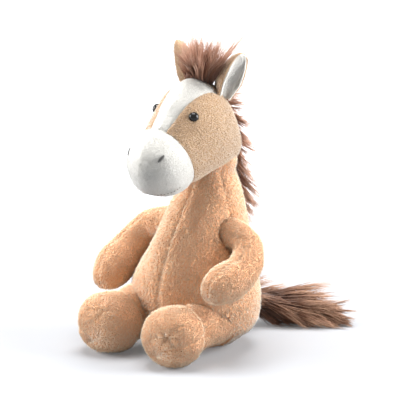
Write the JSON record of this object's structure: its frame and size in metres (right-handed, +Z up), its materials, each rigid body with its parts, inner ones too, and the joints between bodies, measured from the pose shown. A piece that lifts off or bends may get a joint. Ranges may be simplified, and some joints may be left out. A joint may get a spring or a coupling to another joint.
{
  "type": "sitting plush foal",
  "caption": "Sitting soft toy foal of short tan plush with a white face stripe and muzzle, button eyes, upright ears and a long-pile brown forelock, mane and tail.",
  "frame": {"origin": "on the floor plane below the toy's middle, in the flat of the seat", "axes": "+Z up, the toy faces -Y, +X to the toy's own left"},
  "size_m": [0.1892, 0.2614, 0.312],
  "materials": {
    "tan_plush": "short matt pile",
    "face_plush": "short matt pile",
    "white_plush": "short matt pile",
    "hair_plush": "long soft pile",
    "dark_thread": "satin stitch",
    "fibre_filling": "loose polyester fibre",
    "eye_plastic": "gloss",
    "washer_plastic": "matt"
  },
  "bodies": {
    "torso": {"torso_cover": "tan_plush", "torso_filling": "fibre_filling", "mane_lower": "hair_plush"},
    "head": {"cheek_left": "face_plush", "cheek_right": "face_plush", "blaze": "white_plush", "muzzle": "white_plush", "head_filling": "fibre_filling", "eye_left": "eye_plastic", "eye_right": "eye_plastic", "eye_washer_left": "washer_plastic", "eye_washer_right": "washer_plastic", "nostril_left": "dark_thread", "nostril_right": "dark_thread", "ear_left": "tan_plush", "ear_right": "tan_plush", "ear_lining_left": "white_plush", "ear_lining_right": "white_plush", "forelock": "hair_plush", "mane_upper": "hair_plush"},
    "tail": {"tail": "hair_plush"},
    "arm_left": {"arm_left": "tan_plush", "arm_filling_left": "fibre_filling"},
    "arm_right": {"arm_right": "tan_plush", "arm_filling_right": "fibre_filling"},
    "leg_left": {"leg_left": "tan_plush", "leg_filling_left": "fibre_filling"},
    "leg_right": {"leg_right": "tan_plush", "leg_filling_right": "fibre_filling"}
  },
  "joints": [
    {"name": "neck", "type": "hinge", "parent": "torso", "child": "head", "pos_m": [0, 0.0105, 0.182], "axis": [1, 0, 0], "range_deg": [-15, 15], "stiffness_Nm_per_rad": 0.8},
    {"name": "tail_root", "type": "hinge", "parent": "torso", "child": "tail", "pos_m": [0, 0.046, 0.033], "axis": [0, 0, 1], "range_deg": [-25, 25], "stiffness_Nm_per_rad": 0.1},
    {"name": "shoulder_left", "type": "hinge", "parent": "torso", "child": "arm_left", "pos_m": [0.033, -0.005, 0.116], "axis": [1, 0, 0], "range_deg": [-110, 5], "stiffness_Nm_per_rad": 0.2},
    {"name": "shoulder_right", "type": "hinge", "parent": "torso", "child": "arm_right", "pos_m": [-0.033, -0.005, 0.116], "axis": [1, 0, 0], "range_deg": [-110, 5], "stiffness_Nm_per_rad": 0.2},
    {"name": "hip_left", "type": "hinge", "parent": "torso", "child": "leg_left", "pos_m": [0.036, -0.034, 0.0325], "axis": [1, 0, 0], "range_deg": [-6, 80], "stiffness_Nm_per_rad": 0.3},
    {"name": "hip_right", "type": "hinge", "parent": "torso", "child": "leg_right", "pos_m": [-0.036, -0.034, 0.0325], "axis": [1, 0, 0], "range_deg": [-6, 80], "stiffness_Nm_per_rad": 0.3}
  ]
}
